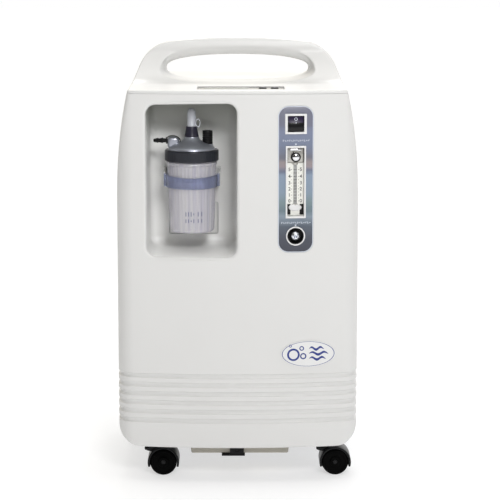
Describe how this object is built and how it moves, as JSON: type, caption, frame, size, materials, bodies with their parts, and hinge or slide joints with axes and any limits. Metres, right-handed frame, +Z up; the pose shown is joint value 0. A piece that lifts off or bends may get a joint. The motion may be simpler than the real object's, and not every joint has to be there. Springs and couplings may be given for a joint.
{
  "type": "oxygen concentrator",
  "caption": "Tall white cabinet on swivel casters with a carry loop, a humidifier bottle in a front bay, a flow meter and a power switch.",
  "frame": {"origin": "on the floor under the middle of the cabinet", "axes": "+Z up, the front faces -Y, +X to the right of someone in front of it"},
  "size_m": [0.365, 0.38, 0.668],
  "materials": {
    "shell_white": "satin moulded plastic",
    "trim_white": "gloss white plastic",
    "label_print": "printed film",
    "black_plastic": "black moulded plastic",
    "dark_nut": "dark moulded plastic with a fine knurl",
    "clear_plastic": "clear moulded plastic",
    "dome_blue": "tinted plastic",
    "collar_blue": "tinted plastic",
    "chrome": "polished plating",
    "steel": "zinc-plated sheet",
    "aluminium": "cast and drawn aluminium",
    "copper": "drawn copper tube",
    "beige_plastic": "beige moulded plastic",
    "grey_foam": "open-cell foam and felt",
    "board_green": "coated circuit board",
    "display_dark": "dark display lens",
    "badge_blue": "printed badge"
  },
  "bodies": {
    "cabinet": {"front_cover": "shell_white", "rear_cover": "shell_white", "top_cover": "shell_white", "display_window": "display_dark", "base_plate": "steel", "duct_tray": "beige_plastic", "tray_clip": "black_plastic", "bottom_pan": "beige_plastic", "control_label": "label_print", "switch_bezel": "trim_white", "flowmeter_frame": "trim_white", "flowmeter_head": "chrome", "flowmeter_tube": "clear_plastic", "port_ring": "trim_white", "port_cup": "black_plastic", "port_nozzle": "chrome", "maker_badge": "badge_blue", "bottle_bracket": "shell_white", "compressor": "aluminium", "sieve_tower_left": "aluminium", "sieve_tower_right": "aluminium", "product_tank": "aluminium", "valve_manifold": "aluminium", "cooling_coil": "copper", "fan_frame": "black_plastic", "intake_filter": "grey_foam", "intake_silencer": "grey_foam", "bacteria_filter": "trim_white", "control_board": "board_green", "power_inlet": "black_plastic"},
    "humidifier": {"humidifier_jar": "clear_plastic", "humidifier_lid": "dome_blue", "outlet_cap": "trim_white", "relief_valve": "black_plastic", "inlet_nipple": "black_plastic", "dip_tube": "clear_plastic", "collar": "collar_blue"},
    "nut": {"ring_nut": "dark_nut"},
    "rocker": {"switch_rocker": "black_plastic"},
    "knob": {"flow_knob": "black_plastic"},
    "float": {"flow_float": "black_plastic"},
    "key_less": {"timer_key_less": "black_plastic"},
    "key_more": {"timer_key_more": "black_plastic"},
    "door": {"filter_door": "shell_white"},
    "grille": {"filter_grille": "shell_white"},
    "breaker": {"breaker_button": "black_plastic"},
    "fan": {"fan_rotor": "black_plastic"},
    "front_left_caster": {"front_left_fork": "black_plastic"},
    "front_left_left": {"front_left_wheel_left": "black_plastic"},
    "front_left_right": {"front_left_wheel_right": "black_plastic"},
    "front_right_caster": {"front_right_fork": "black_plastic"},
    "front_right_left": {"front_right_wheel_left": "black_plastic"},
    "front_right_right": {"front_right_wheel_right": "black_plastic"},
    "rear_left_caster": {"rear_left_fork": "black_plastic"},
    "rear_left_left": {"rear_left_wheel_left": "black_plastic"},
    "rear_left_right": {"rear_left_wheel_right": "black_plastic"},
    "rear_right_caster": {"rear_right_fork": "black_plastic"},
    "rear_right_left": {"rear_right_wheel_left": "black_plastic"},
    "rear_right_right": {"rear_right_wheel_right": "black_plastic"}
  },
  "joints": [
    {"name": "humidifier_pull", "type": "slide", "parent": "cabinet", "child": "humidifier", "axis": [0, -1, 0], "range_m": [0, 0.16]},
    {"name": "ring_nut_turn", "type": "hinge", "parent": "humidifier", "child": "nut", "pos_m": [-0.0695, -0.13, 0.498], "axis": [0, 0, 1], "range_deg": [0, 360]},
    {"name": "switch_rock", "type": "hinge", "parent": "cabinet", "child": "rocker", "pos_m": [0.08641, -0.18178, 0.5504], "axis": [0.9957, 0.0928, 0], "range_deg": [0, 24]},
    {"name": "flow_knob_turn", "type": "hinge", "parent": "cabinet", "child": "knob", "pos_m": [0.08643, -0.18198, 0.5007], "axis": [0.0928, -0.9957, 0], "continuous": true},
    {"name": "float_rise", "type": "slide", "parent": "cabinet", "child": "float", "axis": [0, 0, 1], "range_m": [0, 0.047]},
    {"name": "key_less_press", "type": "slide", "parent": "cabinet", "child": "key_less", "axis": [0, 0, -1], "range_m": [0, 0.0007], "stiffness_N_per_m": 900, "springref_m": -0.0003},
    {"name": "key_more_press", "type": "slide", "parent": "cabinet", "child": "key_more", "axis": [0, 0, -1], "range_m": [0, 0.0007], "stiffness_N_per_m": 900, "springref_m": -0.0003},
    {"name": "filter_door_pull", "type": "slide", "parent": "cabinet", "child": "door", "axis": [0, -1, 0], "range_m": [0, 0.01]},
    {"name": "grille_pull", "type": "slide", "parent": "cabinet", "child": "grille", "axis": [0, 1, 0], "range_m": [0, 0.03]},
    {"name": "breaker_trip", "type": "slide", "parent": "cabinet", "child": "breaker", "axis": [0, 1, 0], "range_m": [0, 0.004]},
    {"name": "fan_spin", "type": "hinge", "parent": "cabinet", "child": "fan", "pos_m": [0.04, -0.0425, 0.25], "axis": [0, 0, 1], "continuous": true},
    {"name": "front_left_swivel", "type": "hinge", "parent": "cabinet", "child": "front_left_caster", "pos_m": [-0.133, -0.125, 0.047], "axis": [0, 0, 1], "continuous": true},
    {"name": "front_left_left_roll", "type": "hinge", "parent": "front_left_caster", "child": "front_left_left", "pos_m": [-0.1153, -0.125, 0.0205], "axis": [0, 1, 0], "continuous": true},
    {"name": "front_left_right_roll", "type": "hinge", "parent": "front_left_caster", "child": "front_left_right", "pos_m": [-0.1153, -0.125, 0.0205], "axis": [0, 1, 0], "continuous": true},
    {"name": "front_right_swivel", "type": "hinge", "parent": "cabinet", "child": "front_right_caster", "pos_m": [0.133, -0.125, 0.047], "axis": [0, 0, 1], "continuous": true},
    {"name": "front_right_left_roll", "type": "hinge", "parent": "front_right_caster", "child": "front_right_left", "pos_m": [0.1507, -0.125, 0.0205], "axis": [0, 1, 0], "continuous": true},
    {"name": "front_right_right_roll", "type": "hinge", "parent": "front_right_caster", "child": "front_right_right", "pos_m": [0.1507, -0.125, 0.0205], "axis": [0, 1, 0], "continuous": true},
    {"name": "rear_left_swivel", "type": "hinge", "parent": "cabinet", "child": "rear_left_caster", "pos_m": [-0.133, 0.125, 0.047], "axis": [0, 0, 1], "continuous": true},
    {"name": "rear_left_left_roll", "type": "hinge", "parent": "rear_left_caster", "child": "rear_left_left", "pos_m": [-0.133, 0.1427, 0.0205], "axis": [-1, 0, 0], "continuous": true},
    {"name": "rear_left_right_roll", "type": "hinge", "parent": "rear_left_caster", "child": "rear_left_right", "pos_m": [-0.133, 0.1427, 0.0205], "axis": [-1, 0, 0], "continuous": true},
    {"name": "rear_right_swivel", "type": "hinge", "parent": "cabinet", "child": "rear_right_caster", "pos_m": [0.133, 0.125, 0.047], "axis": [0, 0, 1], "continuous": true},
    {"name": "rear_right_left_roll", "type": "hinge", "parent": "rear_right_caster", "child": "rear_right_left", "pos_m": [0.133, 0.1427, 0.0205], "axis": [-1, 0, 0], "continuous": true},
    {"name": "rear_right_right_roll", "type": "hinge", "parent": "rear_right_caster", "child": "rear_right_right", "pos_m": [0.133, 0.1427, 0.0205], "axis": [-1, 0, 0], "continuous": true}
  ]
}
